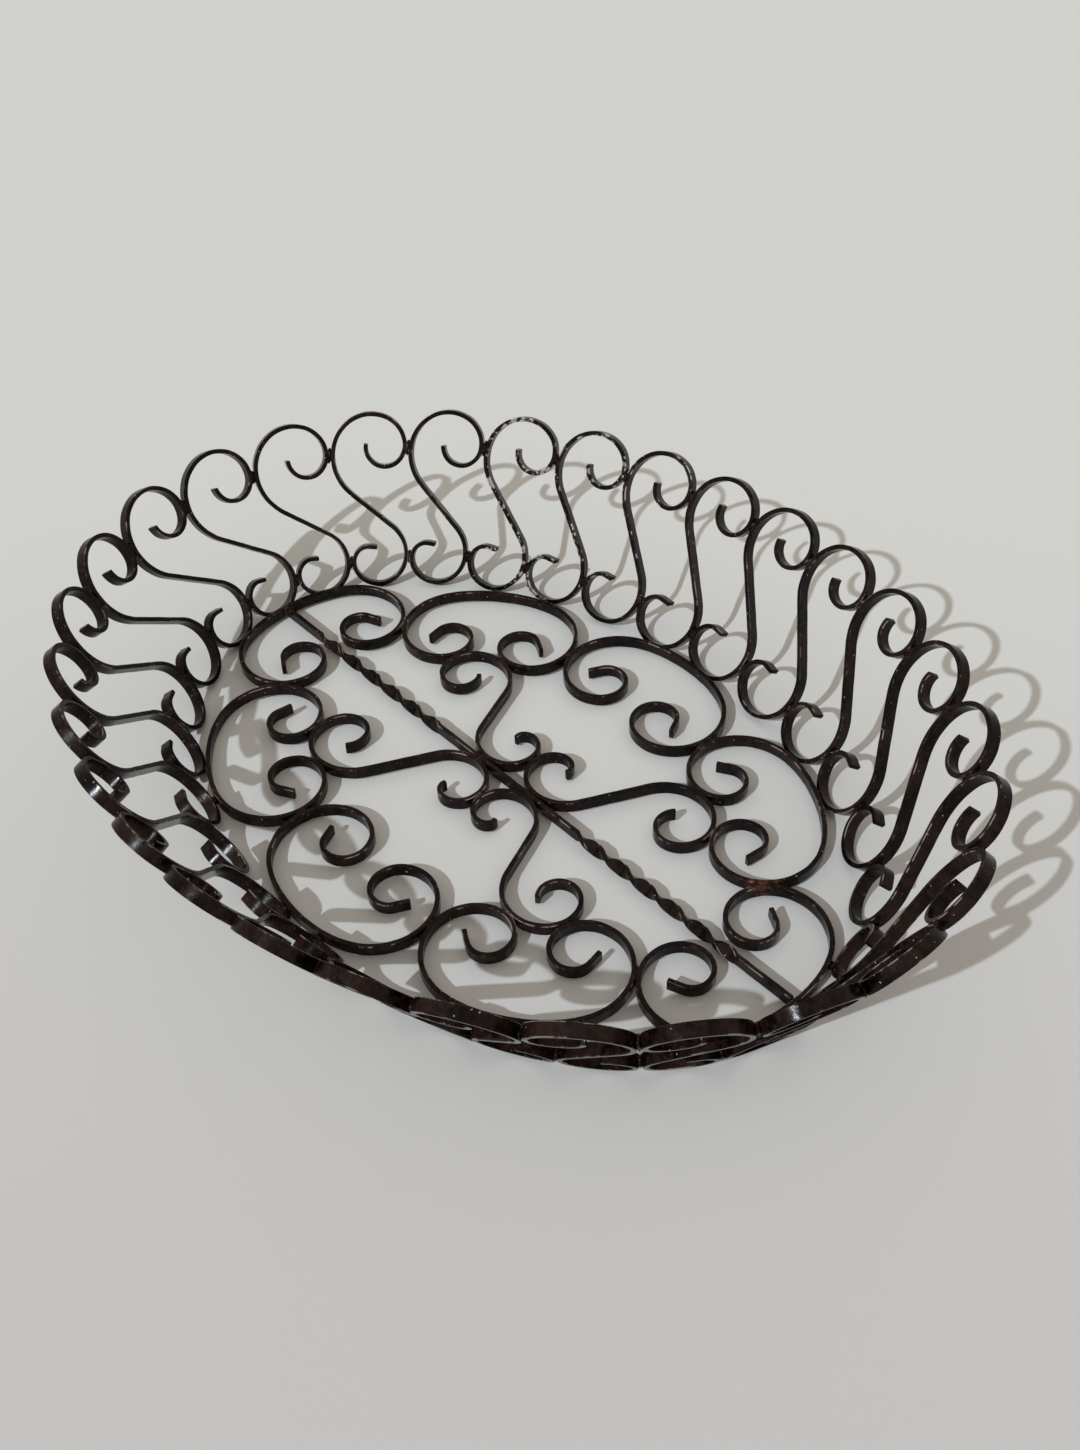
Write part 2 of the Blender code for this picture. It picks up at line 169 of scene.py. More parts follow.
def s_scroll(first, first_place, first_turn, second, second_place, second_turn, step=FINE_STEP):
    """Two curls joined by the straight that touches both; a curl is (shape, width, wind)."""

    def ends(heading):
        a = turned(curl(*first[:2], heading - first_turn, first[2], step), first_turn)
        b = turned(curl(*second[:2], heading - second_turn, second[2], step), second_turn + 180)
        return a + first_place, b + second_place

    heading = LEAVING_HEADING + (first_turn + second_turn) / 2
    for _ in range(AIM_ROUNDS):
        a, b = ends(heading)
        x, y = b[-1] - a[-1]
        miss = math.degrees(math.atan2(y, x)) - heading
        heading += AIM_SHARE * ((miss + 180) % 360 - 180)
    a, b = ends(heading)
    return np.vstack([a, b[::-1]])


print("a rim curl has", len(curl(RIM_CURL, 0.03, LEAVING_HEADING)), "points")

# %% [markdown]
# The wall is a ring of thirty such scrolls. Their middles are spaced evenly round two ovals, one
# at the rim and a smaller one at the feet, and each scroll lies in the flat plane through its two
# middles. Where two planes meet, the scrolls just clear each other.

# %% Planes of the wall
WALL_COUNT = 30
RIM_LENGTH = 0.376
RIM_WIDTH = 0.2834
RIM_HEIGHT = 0.0592
END_OVERHANG = 0.0243
SIDE_OVERHANG = 0.0271
FOOT_LENGTH = RIM_LENGTH - 2 * END_OVERHANG
FOOT_WIDTH = RIM_WIDTH - 2 * SIDE_OVERHANG
RIM_TURN = 6.0
FOOT_TURN = 2.5
RIM_PHASE_SHARE = 0.006
FOOT_PHASE_SHARE = 0.348
OVAL_STEPS = 1440


def oval(length, width, turn_by, shares):
    """Points and clockwise tangents at shares of the way round an ellipse."""
    angles = np.linspace(0, 2 * math.pi, OVAL_STEPS + 1)
    ring = np.stack([np.cos(angles) * length / 2, np.sin(angles) * width / 2], axis=1)
    run = np.concatenate([[0], np.cumsum(np.linalg.norm(np.diff(ring, axis=0), axis=1))])
    at = np.interp(np.asarray(shares) % 1 * run[-1], run, angles)
    points = np.stack([np.cos(at) * length / 2, np.sin(at) * width / 2], axis=1)
    tangents = np.stack([np.sin(at) * length / 2, -np.cos(at) * width / 2], axis=1)
    tangents /= np.linalg.norm(tangents, axis=1)[:, None]
    return turned(points, turn_by), turned(tangents, turn_by)


def wall_planes():
    """Plane of each wall scroll: low and high middles, across, up, normal, drift and rise."""
    lean = math.atan2((END_OVERHANG + SIDE_OVERHANG) / 2, RIM_HEIGHT)
    pitch = math.pi * (FOOT_LENGTH + FOOT_WIDTH) / 2 / WALL_COUNT
    foot_height = (pitch / 2) * math.cos(lean) + HALF_WIDTH * math.sin(lean)
    places = np.arange(WALL_COUNT) + 0.5
    rim = oval(RIM_LENGTH, RIM_WIDTH, RIM_TURN, (places + RIM_PHASE_SHARE) / WALL_COUNT)
    foot = oval(FOOT_LENGTH, FOOT_WIDTH, FOOT_TURN, (places + FOOT_PHASE_SHARE) / WALL_COUNT)
    planes = []
    for k in range(WALL_COUNT):
        across = Vector((*(rim[1][k] + foot[1][k]), 0)).normalized()
        low = Vector((*foot[0][k], foot_height))
        high = Vector((*rim[0][k], RIM_HEIGHT))
        drift = (high - low).dot(across)
        slope = high - low - drift * across
        planes.append(dict(low=low, high=high, across=across, up=slope.normalized(), drift=drift,
                           rise=slope.length, normal=across.cross(slope).normalized()))
    return planes


def curl_room(planes, k, level):
    """Left and right ends of the room that a curl's middle line has in its plane."""
    plane = planes[k]
    sides = []
    for step in (1, -1):
        other = planes[(k + step) % WALL_COUNT]
        ways = np.array([plane["across"].xy, -other["across"].xy]).T
        reach = np.linalg.solve(ways, np.array(other[level].xy - plane[level].xy))[0]
        half_angle = plane["normal"].angle(other["normal"]) / 2
        margin = (WELD_GAP / 2 + HALF_WIDTH * math.sin(half_angle)) / math.cos(half_angle)
        sides.append(reach + step * (margin + HALF_THICKNESS))
    return sides


planes = wall_planes()
print("rim curls lie about", round(math.pi * (RIM_LENGTH + RIM_WIDTH) / 2 / WALL_COUNT * 1000, 1),
      "mm apart")

# %% [markdown]
# A line in space is a row of stations. Each has a middle point, a way through the strip's
# thickness and a way along its width, so one sweeping tool can later make every piece. Long
# straights get extra stations, because wear and rust change along them too.

# %% Lines in space
STATION_SPACING = 0.0016
rng = np.random.default_rng(11)
strips = {}


def left_of(path):
    """Unit vector to the left of a flat path at each of its points."""
    ahead = np.diff(path, axis=0)
    ahead /= np.linalg.norm(ahead, axis=1)[:, None]
    left = np.stack([-ahead[:, 1], ahead[:, 0]], axis=1)
    middle = np.vstack([left[:1], left]) + np.vstack([left, left[-1:]])
    return middle / np.linalg.norm(middle, axis=1)[:, None]


def with_stations(path):
    """Path with extra points wherever two of its points lie far apart."""
    points = [path[0]]
    for start, end in zip(path, path[1:]):
        count = math.ceil(np.linalg.norm(end - start) / STATION_SPACING)
        points.extend(start + (end - start) * step / count for step in range(1, count + 1))
    return np.array(points)


def add_line(node, path, origin, across, up, normal):
    """Keep the stations of one strip, from a path in the plane that two ways span."""
    path = with_stations(path)
    basis = np.array([across, up])
    strips[node] = dict(middles=np.array(origin) + path @ basis, sides=left_of(path) @ basis,
                        edges=np.tile(np.array(normal), (len(path), 1)))


RIM_WIND = 9.0
FOOT_WIND = 5.0
for k, plane in enumerate(planes):
    foot_left, foot_right = curl_room(planes, k, "low")
    rim_left, rim_right = curl_room(planes, k, "high")
    rim_place = np.array([plane["drift"] + (rim_left + rim_right) / 2, plane["rise"]])
    foot_place = np.array([(foot_left + foot_right) / 2, 0])
    rim_curl = (RIM_CURL, rim_right - rim_left, rng.uniform(-RIM_WIND, RIM_WIND))
    foot_curl = (FOOT_CURL, foot_right - foot_left, rng.uniform(-FOOT_WIND, FOOT_WIND))
    path = s_scroll(rim_curl, rim_place, 0, foot_curl, foot_place, 0)
    node = f"wall_scroll_{k + 1:02d}"
    add_line(node, path, plane["low"], plane["across"], plane["up"], plane["normal"])
    line = strips[node]
    depth = np.abs(line["sides"]) * HALF_THICKNESS + np.abs(line["edges"]) * HALF_WIDTH
    line["middles"][:, 2] -= (line["middles"] - depth)[:, 2].min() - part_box(node)[0][2]
print("a wall scroll has", len(strips["wall_scroll_01"]["middles"]), "stations")

# %% [markdown]
# The floor's pieces lie flat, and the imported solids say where. A scroll is drawn with the same
# coarse steps as its solid and moved until both have the same corners, and then drawn again with
# fine steps in that place. The ring looks the same after half a turn, so four scrolls give eight.

# %% Floor scrolls
FLOOR_TIP_SHARE = 0.082
FLOOR_RADIUS_SHARES = (0.0863, 0.1423, 0.340, 0.946)
FLOOR_TURNS = (171.0, 220.0, 33.0)
FLOOR_CURL_TURN = 276.0
FLOOR_FACINGS = dict(side_floor_scroll_1=-2.0, end_floor_scroll_1=-94.5,
                     corner_floor_scroll_1=-34.5, corner_floor_scroll_2=-145.5)
OPPOSITE = dict(side_floor_scroll_1="side_floor_scroll_2", end_floor_scroll_1="end_floor_scroll_2",
                corner_floor_scroll_1="corner_floor_scroll_3",
                corner_floor_scroll_2="corner_floor_scroll_4",
                centre_scroll_1="centre_scroll_3", centre_scroll_2="centre_scroll_4")
FLOOR_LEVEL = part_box("side_floor_scroll_1")[0][2] + HALF_WIDTH
TRIAL_WIDTHS = (0.07, 0.09)


def c_scroll(width, step=FINE_STEP):
    """C scroll with the middle of its back at the origin and its curls below."""
    heading = 180.0 - sum(FLOOR_TURNS)
    radii = [share * width for share in FLOOR_RADIUS_SHARES]
    points = [np.zeros(2), FLOOR_TIP_SHARE * width * heading_vector(heading)]
    for radius, next_radius, sweep in zip(radii, radii[1:], FLOOR_TURNS):
        points.extend(spiral(points[-1], heading, radius, next_radius, sweep, step))
        heading += sweep
    half = np.array(points) - points[-1]
    return np.vstack([half, (half * (-1, 1))[-2::-1]])


def reach_of(path):
    """Lowest and highest corners of a strip along a flat path."""
    ahead = np.diff(path, axis=0)
    ahead /= np.linalg.norm(ahead, axis=1)[:, None]
    left = np.stack([-ahead[:, 1], ahead[:, 0]], axis=1)
    before, after = np.vstack([left[:1], left]), np.vstack([left, left[-1:]])
    offset = (before + after) * HALF_THICKNESS / (1 + (before * after).sum(axis=1))[:, None]
    faces = np.vstack([path + offset, path - offset])
    return faces.min(axis=0), faces.max(axis=0)


def flat_box(node):
    """The solid's corners seen from above."""
    low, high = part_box(node)
    return np.array([low[0], low[1]]), np.array([high[0], high[1]])


def add_floor_pair(node, path):
    """A flat strip and the one opposite it."""
    for name, way_round in ((node, 1), (OPPOSITE[node], -1)):
        add_line(name, path * way_round, (0, 0, FLOOR_LEVEL), (1, 0, 0), (0, 1, 0), (0, 0, 1))


def long_side(width):
    """Length along X of the first side scroll if it had a width."""
    low, high = reach_of(turned(c_scroll(width, SOLID_STEP), FLOOR_FACINGS["side_floor_scroll_1"]))
    return high[0] - low[0]


trial_lengths = [long_side(width) for width in TRIAL_WIDTHS]
low, high = flat_box("side_floor_scroll_1")
floor_width = float(np.interp(high[0] - low[0], trial_lengths, TRIAL_WIDTHS))
coarse_lines = {}
for node, facing in FLOOR_FACINGS.items():
    coarse = turned(c_scroll(floor_width, SOLID_STEP), facing)
    shift = flat_box(node)[0] - reach_of(coarse)[0]
    coarse_lines[node] = coarse + shift
    add_floor_pair(node, turned(c_scroll(floor_width), facing) + shift)
print("floor scrolls are", round(floor_width * 1000, 2), "mm wide")

# %% [markdown]
# The four scrolls in the middle are smaller S scrolls. Each is sized by how far the mouth of its
# corner scroll lies from the long axis, which makes two of them a little smaller. Their curls are
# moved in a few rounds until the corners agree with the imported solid.

# %% Centre scrolls and the bar's line
CENTRE_WIDTH_SHARES = (0.635, 0.473)
CENTRE_CURL_TURN = -32.0
CENTRE_INNER_TURN = -70.0
PLACING_ROUNDS = 6
BAR_PLAIN_MIDDLE = 0.085
BAR_PLAIN_END = 0.026
BAR_HALF_TURNS = 6


def mouth_height(coarse):
    """How far the middle between a floor scroll's two curls lies from the long axis."""
    ahead = np.diff(coarse, axis=0)
    headings = np.degrees(np.unwrap(np.arctan2(ahead[:, 1], ahead[:, 0])))
    first = coarse[:-1][headings - headings[0] < FLOOR_CURL_TURN]
    last = coarse[1:][headings[-1] - headings < FLOOR_CURL_TURN]
    return abs(first[:, 1].mean() + last[:, 1].mean()) / 2


def centre_line(node, flip, corner):
    """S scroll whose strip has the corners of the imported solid, mirrored where it needs it."""
    widths = mouth_height(coarse_lines[corner]) * np.array(CENTRE_WIDTH_SHARES)
    flipped = np.sort(np.array(flat_box(node)) * flip, axis=0)
    places = flipped[::-1] + np.array([[-1], [1]]) * widths[:, None] / 2
    curls = ((RIM_CURL, widths[0], 0.0), (CENTRE_CURL, widths[1], 0.0))
    for _ in range(PLACING_ROUNDS):
        coarse = s_scroll(curls[0], places[0], CENTRE_CURL_TURN,
                          curls[1], places[1], CENTRE_INNER_TURN, SOLID_STEP)
        low, high = reach_of(coarse)
        places += flipped[::-1] - np.array([high, low])
    fine = s_scroll(curls[0], places[0], CENTRE_CURL_TURN, curls[1], places[1], CENTRE_INNER_TURN)
    return fine * flip


for number, flip in ((1, (1, 1)), (2, (1, -1))):
    node = f"centre_scroll_{number}"
    add_floor_pair(node, centre_line(node, flip, f"corner_floor_scroll_{number}"))

bar_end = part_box("twisted_bar")[1][0]
bar_x = with_stations(np.array([[-bar_end, 0], [bar_end, 0]]))[:, 0]
turning = np.linspace(0, BAR_HALF_TURNS * 180, round(BAR_HALF_TURNS * 180 / FINE_STEP) + 1)
twist_x = np.interp(turning, (0, turning[-1]), (BAR_PLAIN_MIDDLE / 2, bar_end - BAR_PLAIN_END))
plain_x = bar_x[(np.abs(bar_x) < twist_x[0]) | (np.abs(bar_x) > twist_x[-1])]
bar_x = np.sort(np.concatenate([plain_x, twist_x, -twist_x]))
twist = np.radians(np.interp(np.abs(bar_x), twist_x, turning) * np.sign(bar_x))
none = np.zeros_like(twist)
strips["twisted_bar"] = dict(
    middles=np.stack([bar_x, none, none + FLOOR_LEVEL], axis=1),
    sides=np.stack([none, np.cos(twist), np.sin(twist)], axis=1),
    edges=np.stack([none, -np.sin(twist), np.cos(twist)], axis=1))
print("bar ends at", round(bar_end * 1000, 1), "mm,", len(strips), "strips in all")

# %% [markdown]
# Where two strips all but touch, the smith has put a short weld. The joints are found by measuring
# the least distance between two lines. A joint keeps its place, the way across it and the way
# along the strips. Most are sound, some have begun to rust, and one on the floor is quite rusty.

# %% Joints
RIM_SHARE = 0.5
WIDEST_GAP = 0.0016
WIDEST_EDGE_GAP = 0.0022
FACE_TO_FACE = STRIP_THICKNESS + WIDEST_GAP
FACE_TO_EDGE = HALF_THICKNESS + HALF_WIDTH + WIDEST_EDGE_GAP
MIDWAY = 0.5
NEARER_THE_FLOOR = 0.32
LITTLE_RUST = 0.45
RUSTIEST = 5
joints = {group: [] for group in ("rim", "foot", "floor_ring", "floor_to_wall", "centre", "bar")}


def find_joint(group, a, b, reach, share=MIDWAY):
    """Add the joint between two rows of stations if they come within reach."""
    apart = np.linalg.norm(a["middles"][:, None] - b["middles"][None], axis=2)
    i, j = np.unravel_index(apart.argmin(), apart.shape)
    if apart[i, j] > reach:
        return
    start, end = a["middles"][i], b["middles"][j]
    across = (end - start) / apart[i, j]
    edge = a["edges"][i] - a["edges"][i].dot(across) * across
    joints[group].append(dict(at=start + share * (end - start), across=across,
                              edge=edge / np.linalg.norm(edge),
                              rust=LITTLE_RUST * rng.uniform() ** 2))


def part_of(node, start_share, end_share):
    """Some of a strip's stations."""
    count = len(strips[node]["middles"])
    chosen = slice(round(start_share * count), round(end_share * count))
    return {key: values[chosen] for key, values in strips[node].items()}


def quarter_nodes(number):
    """Corner and centre scroll of one quarter."""
    return f"corner_floor_scroll_{number}", f"centre_scroll_{number}"


walls = [f"wall_scroll_{k + 1:02d}" for k in range(WALL_COUNT)]
for node, other in zip(walls, walls[1:] + walls[:1]):
    find_joint("rim", part_of(node, 0, RIM_SHARE), part_of(other, 0, RIM_SHARE), FACE_TO_FACE)
    find_joint("foot", part_of(node, RIM_SHARE, 1), part_of(other, RIM_SHARE, 1), FACE_TO_FACE)
ring = ["side_floor_scroll_1", "corner_floor_scroll_1", "end_floor_scroll_1",
        "corner_floor_scroll_2", "side_floor_scroll_2", "corner_floor_scroll_3",
        "end_floor_scroll_2", "corner_floor_scroll_4"]
for node, other in zip(ring, ring[1:] + ring[:1]):
    find_joint("floor_ring", strips[node], strips[other], FACE_TO_FACE)
    for wall in walls:
        find_joint("floor_to_wall", strips[node], part_of(wall, RIM_SHARE, 1), FACE_TO_EDGE,
                   NEARER_THE_FLOOR)
for number in range(1, 5):
    corner, centre = quarter_nodes(number)
    find_joint("centre", strips[centre], part_of(corner, 0, MIDWAY), FACE_TO_FACE)
    find_joint("centre", strips[centre], part_of(corner, MIDWAY, 1), FACE_TO_FACE)
    find_joint("centre", strips[centre], strips["twisted_bar"], FACE_TO_FACE)
for number, other in ((1, 4), (2, 3)):
    find_joint("centre", strips[f"centre_scroll_{number}"], strips[f"centre_scroll_{other}"],
               FACE_TO_FACE)
for number in (1, 2):
    find_joint("bar", strips[f"end_floor_scroll_{number}"], strips["twisted_bar"], FACE_TO_FACE)
joints["floor_ring"][RUSTIEST]["rust"] = 1.0
print({group: len(found) for group, found in joints.items()})

# %% [markdown]
# Now the sweep. The section is a rectangle with rounded corners, and each ring of points carries
# its own exact normals, so the flats stay flat and only the corners catch a line of light. Two
# short rings round the cut ends. The smith's hammer leaves small waves in the thickness, and two
# attributes go along for the paint: the place in the strip, and marks of rust, of welding and of
# pale edge specks. Three scrolls at the back get pale specks all along their edges.

# %% Sweep a strip
CORNER_ANGLES = (0, 45, 90)
END_ANGLES = (20, 50, 90)
WAVE_LENGTHS = (0.037, 0.016, 0.0085)
THICKNESS_WAVE = 0.035
SIDE_WAVE = 0.00007
WELD_REACH = 0.0055
RUST_REACH = 0.012
TIP_REACH = 0.004
LATEST_START = 10
# Three scrolls at the back get pale specks along their edges, each to its own degree.
PALE_SPECK_SCROLLS = dict(wall_scroll_26=1.0, wall_scroll_25=0.8, wall_scroll_24=0.35)
all_joints = [joint for found in joints.values() for joint in found]
joint_places = np.array([joint["at"] for joint in all_joints])
joint_rust = np.array([joint["rust"] for joint in all_joints])


def corner_ways():
    """Middles of the section's corner arcs and the way each of its points faces."""
    middles = []
    ways = []
    for quarter, (x, y) in enumerate(((1, 1), (-1, 1), (-1, -1), (1, -1))):
        for angle in CORNER_ANGLES:
            middles.append((x * (HALF_THICKNESS - EDGE_ROUNDING), y * (HALF_WIDTH - EDGE_ROUNDING)))
            ways.append(heading_vector(90 * quarter + angle))
    return np.array(middles), np.array(ways)


def hand_wave(run):
    """Gentle random wave along a strip, about one at most."""
    phases = rng.uniform(0, 2 * math.pi, len(WAVE_LENGTHS))
    waves = [np.sin(run * 2 * math.pi / length + phase)
             for length, phase in zip(WAVE_LENGTHS, phases)]
    return sum(waves) / len(waves)


def with_round_ends(line):
    """Stations of a line, with the first and the last split up to round the cut ends."""
    middles, sides, edges = line["middles"], line["sides"], line["edges"]
    back = EDGE_ROUNDING * (1 - np.cos(np.radians(END_ANGLES)))[:, None]
    first = middles[0] + back * (middles[1] - middles[0]) / np.linalg.norm(middles[1] - middles[0])
    last = middles[-1] + back * (middles[-2] - middles[-1]) / np.linalg.norm(
        middles[-2] - middles[-1])
    count = len(END_ANGLES)
    tilt = np.concatenate([np.radians(END_ANGLES), np.full(len(middles) - 2, math.pi / 2),
                           np.radians(END_ANGLES[::-1])])
    outward = np.zeros(len(tilt))
    outward[:count] = -1
    outward[-count:] = 1
    repeated = [np.vstack([np.tile(rows[0], (count, 1)), rows[1:-1],
                           np.tile(rows[-1], (count, 1))]) for rows in (sides, edges)]
    return np.vstack([first, middles[1:-1], last[::-1]]), *repeated, tilt, outward


def forge(node):
    """Mesh of one strip with its normals and its two attributes."""
    middles, sides, edges, tilt, outward = with_round_ends(strips[node])
    run = np.concatenate([[0], np.cumsum(np.linalg.norm(np.diff(middles, axis=0), axis=1))])
    ahead = np.cross(sides, edges)
    ease = np.clip(np.minimum(run, run[-1] - run) / TIP_REACH, 0, 1)
    middles = middles + (SIDE_WAVE * ease * hand_wave(run))[:, None] * sides
    thinner = 1 - THICKNESS_WAVE * (1 + hand_wave(run)) / 2
    arcs, ways = corner_ways()
    rounding = EDGE_ROUNDING * np.sin(tilt)
    x = (arcs[:, 0] + rounding[:, None] * ways[:, 0]) * thinner[:, None]
    y = arcs[:, 1] + rounding[:, None] * ways[:, 1]
    points = middles[:, None] + x[..., None] * sides[:, None] + y[..., None] * edges[:, None]
    facing = ways[:, 0, None] * sides[:, None] + ways[:, 1, None] * edges[:, None]
    normals = np.sin(tilt)[:, None, None] * facing
    normals += (np.cos(tilt) * outward)[:, None, None] * ahead[:, None]
    rows, around = x.shape
    faces = [tuple(range(around))[::-1], tuple(range((rows - 1) * around, rows * around))]
    for i in range(rows - 1):
        for j in range(around):
            k = (j + 1) % around
            faces.append((i * around + j, i * around + k, (i + 1) * around + k,
                          (i + 1) * around + j))
    mesh = bpy.data.meshes.new(node + "_forged")
    mesh.from_pydata(points.reshape(-1, 3).tolist(), [], faces)
    mesh.shade_smooth()
    mesh.normals_split_custom_set_from_vertices(normals.reshape(-1, 3).tolist())
    start = rng.uniform(0, LATEST_START)
    along = np.broadcast_to((run + start)[:, None], x.shape)
    place = np.stack([np.broadcast_to(arcs[:, 0] + EDGE_ROUNDING * ways[:, 0], x.shape),
                      np.broadcast_to(arcs[:, 1] + EDGE_ROUNDING * ways[:, 1], x.shape), along],
                     axis=-1)
    apart = np.linalg.norm(points[:, :, None] - joint_places, axis=-1)
    rust = (joint_rust * np.exp(-(apart / RUST_REACH) ** 2)).max(axis=-1)
    weld = np.exp(-(apart.min(axis=-1) / WELD_REACH) ** 2)
    marks = np.stack([rust, weld, np.full(x.shape, PALE_SPECK_SCROLLS.get(node, 0.0))], axis=-1)
    for name, values in (("strip_place", place), ("marks", marks)):
        mesh.attributes.new(name, "FLOAT_VECTOR", "POINT").data.foreach_set(
            "vector", values.astype(np.float32).ravel())
    return mesh


print(len(joint_places), "joints leave marks")

# %% [markdown]
# A weld is a small lump of iron that ran into the notch between two strips and froze there. A
# fine ball is stretched to the notch and roughened with noise. A group of welds is one object,
# since nobody would ever take one of them off.

# %% Lumps of weld
WELD_SIZES = dict(rim=(0.00125, 0.0034, 0.00245), foot=(0.00125, 0.0031, 0.00245),
                  floor_ring=(0.0013, 0.0042, 0.00255), floor_to_wall=(0.0014, 0.0020, 0.0016),
                  centre=(0.00125, 0.0034, 0.0025), bar=(0.0011, 0.0024, 0.0024))
LUMP_FINENESS = 3
LUMP_SPREAD = (0.9, 1.08)
LUMP_SHIFT = 0.0005
LUMP_SCALE = 700.0
LUMP_DEPTH = 0.22


def weld_lumps(group):
    """One mesh with a lump at each joint of a group."""
    lumps = bmesh.new()
    for joint in joints[group]:
        ball = bmesh.ops.create_icosphere(lumps, subdivisions=LUMP_FINENESS, radius=1.0)["verts"]
        across, edge = Vector(joint["across"]), Vector(joint["edge"])
        along = across.cross(edge)
        sizes = (np.array(WELD_SIZES[group]) * rng.uniform(*LUMP_SPREAD, 3)).tolist()
        shift = along * float(rng.uniform(-LUMP_SHIFT, LUMP_SHIFT))
        for vertex in ball:
            unit = vertex.co.copy()
            at = unit.x * sizes[0] * across + unit.y * sizes[1] * along + unit.z * sizes[2] * edge
            at += shift
            bulge = noise.noise((at + Vector(joint["at"])) * LUMP_SCALE)
            vertex.co = Vector(joint["at"]) + at * (1 + LUMP_DEPTH * bulge)
    mesh = bpy.data.meshes.new(group + "_welds")
    lumps.to_mesh(mesh)
    lumps.free()
    mesh.shade_smooth()
    count = len(mesh.vertices)
    points = np.zeros(count * 3)
    mesh.vertices.foreach_get("co", points)
    place = points.reshape(-1, 3) * (0, 0, 1)
    rust = np.repeat([joint["rust"] for joint in joints[group]], count // len(joints[group]))
    marks = np.stack([rust, np.ones(count), np.zeros(count)], axis=1)
    for name, values in (("strip_place", place), ("marks", marks)):
        mesh.attributes.new(name, "FLOAT_VECTOR", "POINT").data.foreach_set(
            "vector", values.astype(np.float32).ravel())
    return mesh


print("welds come in", len(WELD_SIZES), "groups")

# %% [markdown]
# Materials are written as plain sums. A wire wraps one socket, and adding or multiplying wires
# adds the Math nodes behind the scenes. Sockets go by number, because some nodes have several of
# the same name.

# %% A wire for shader sums
CLOUD_ROUGHNESS = 0.55


class Wire:
    """One socket of a material, with the usual operators."""

    def __init__(self, tree, socket):
        self.tree = tree
        self.socket = socket

    def node(self, kind, settings, inputs, output=0):
        """Any other node: its settings are set first, then the values or wires of its sockets."""
        made = self.tree.nodes.new(kind)
        for key, value in settings.items():
            setattr(made, key, value)
        for key, value in inputs.items():
            if isinstance(value, Wire):
                self.tree.links.new(value.socket, made.inputs[key])
            elif value is not None:
                made.inputs[key].default_value = value
        return Wire(self.tree, made.outputs[output])

    def math(self, operation, first, second=None):
        return self.node("ShaderNodeMath", dict(operation=operation), {0: first, 1: second})

    def __add__(self, other):
        return self.math("ADD", self, other)

    def __radd__(self, other):
        return self.math("ADD", other, self)

    def __sub__(self, other):
        return self.math("SUBTRACT", self, other)

    def __rsub__(self, other):
        return self.math("SUBTRACT", other, self)

    def __mul__(self, other):
        return self.math("MULTIPLY", self, other)

    def __rmul__(self, other):
        return self.math("MULTIPLY", other, self)

    def __abs__(self):
        return self.math("ABSOLUTE", self)


def new_material(name):
    """Empty material, its shader and a wire to start sums from."""
    made = bpy.data.materials.new(name)
    made.use_nodes = True
    tree = made.node_tree
    shader = tree.nodes["Principled BSDF"]
    return made, shader, Wire(tree, None)


def clouds(wire, place, scale, detail=3.0):
    """Noise between 0 and 1, mostly near a half."""
    return wire.node("ShaderNodeTexNoise", {}, {"Vector": place, "Scale": scale, "Detail": detail,
                                                "Roughness": CLOUD_ROUGHNESS})


def rise(value, low, high):
    """Mask that climbs smoothly from 0 at low to 1 at high."""
    return value.node("ShaderNodeMapRange", dict(interpolation_type="SMOOTHSTEP"),
                      {0: value, 1: low, 2: high, 3: 0.0, 4: 1.0})


def blend(first, second, mask):
    """Mix of two colours."""
    colours = [colour if isinstance(colour, Wire) else (*colour, 1.0) for colour in (first, second)]
    return mask.node("ShaderNodeMix", dict(data_type="RGBA"),
                     {0: mask, 6: colours[0], 7: colours[1]}, 2)


print("shader tools ready")

# %% [markdown]
# The finish is a very dark brown paint with a satin shine, put on by brush after welding. It is a
# little browner where it lies thin, with fine reddish grains in it. Rust comes through at a few
# welds, the corners are rubbed down to a thin line of bare metal here and there, and a few tiny
# specks of pale dust stick to it. Each mask is a sum of noises that climbs from 0 to 1 over a
# named range.

# %% Paint on the iron
PAINT_DARK = (0.0018, 0.0010, 0.0010)
PAINT_BROWN = (0.0150, 0.0075, 0.0062)
GRAINS = (0.050, 0.021, 0.013)
RUST = (0.105, 0.033, 0.014)
BARE_METAL = (0.46, 0.44, 0.42)
DUST = (0.42, 0.40, 0.37)
PAINT_ROUGHNESS = 0.17
PAINT_SPECULAR = 0.12
PATCH_SCALE = 75.0
FINE_SCALE = 420.0
GRIT_SCALE = 1700.0
SPECK_SCALE = 900.0
CORNER_RANGE = (0.00006, 0.00042)
SPECK_EDGE_REACH = 0.0006
BARE_RANGE = (0.74, 0.84)
BROWN_RANGE = (0.58, 0.95)
GRAIN_RANGE = (0.84, 1.00)
RUST_RANGE = (1.10, 1.45)
SPECK_RANGE = (0.83, 0.86)
BUMP_STRENGTH = 0.26
BUMP_DEPTH = 0.0006


